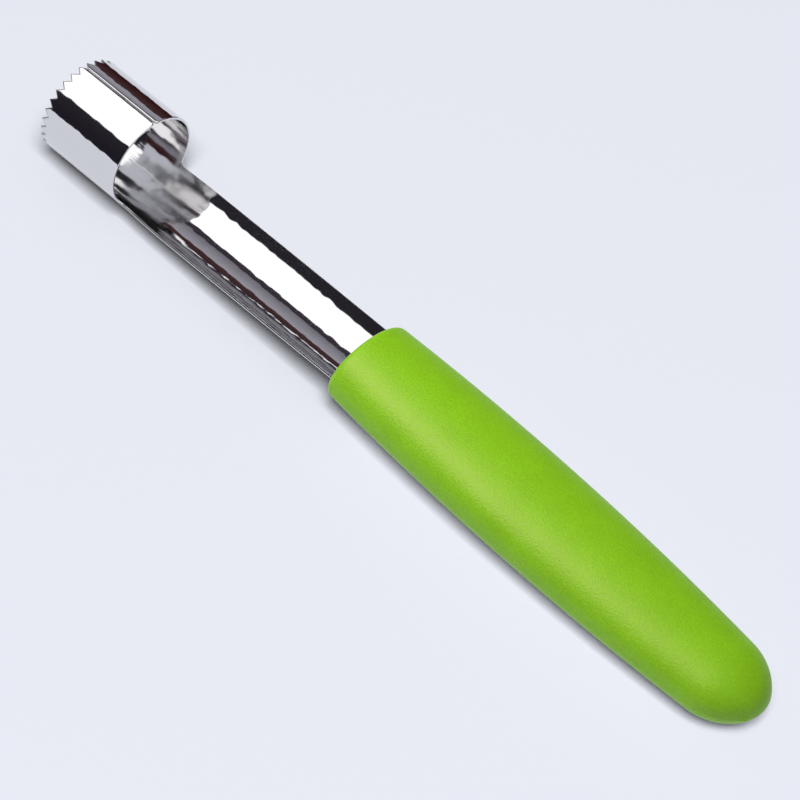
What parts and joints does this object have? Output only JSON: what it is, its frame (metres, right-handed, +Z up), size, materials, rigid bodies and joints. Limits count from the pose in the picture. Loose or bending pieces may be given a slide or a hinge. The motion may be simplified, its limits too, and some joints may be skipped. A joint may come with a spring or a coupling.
{
  "type": "apple corer",
  "caption": "Hand apple corer: a toothed steel tube that runs on as an open trough into an oval moulded grip, for cutting out and sliding clear a fruit's core.",
  "frame": {"origin": "on the table under the middle of the tool's box, with the tool lying on the underside of its grip and its lowest tooth", "axes": "+X along the tool from the teeth to the end of the grip, +Z up, out of the trough's open side, Y across the tool"},
  "size_m": [0.1794, 0.0228, 0.0209],
  "materials": {
    "polished_steel": "mirror-polished stainless sheet",
    "core_plastic": "natural polypropylene, as moulded",
    "grip_plastic": "lime green moulded plastic with a fine matte grain"
  },
  "bodies": {
    "root": {"corer_blade": "polished_steel", "handle_core": "core_plastic", "handle_grip": "grip_plastic"}
  },
  "joints": []
}
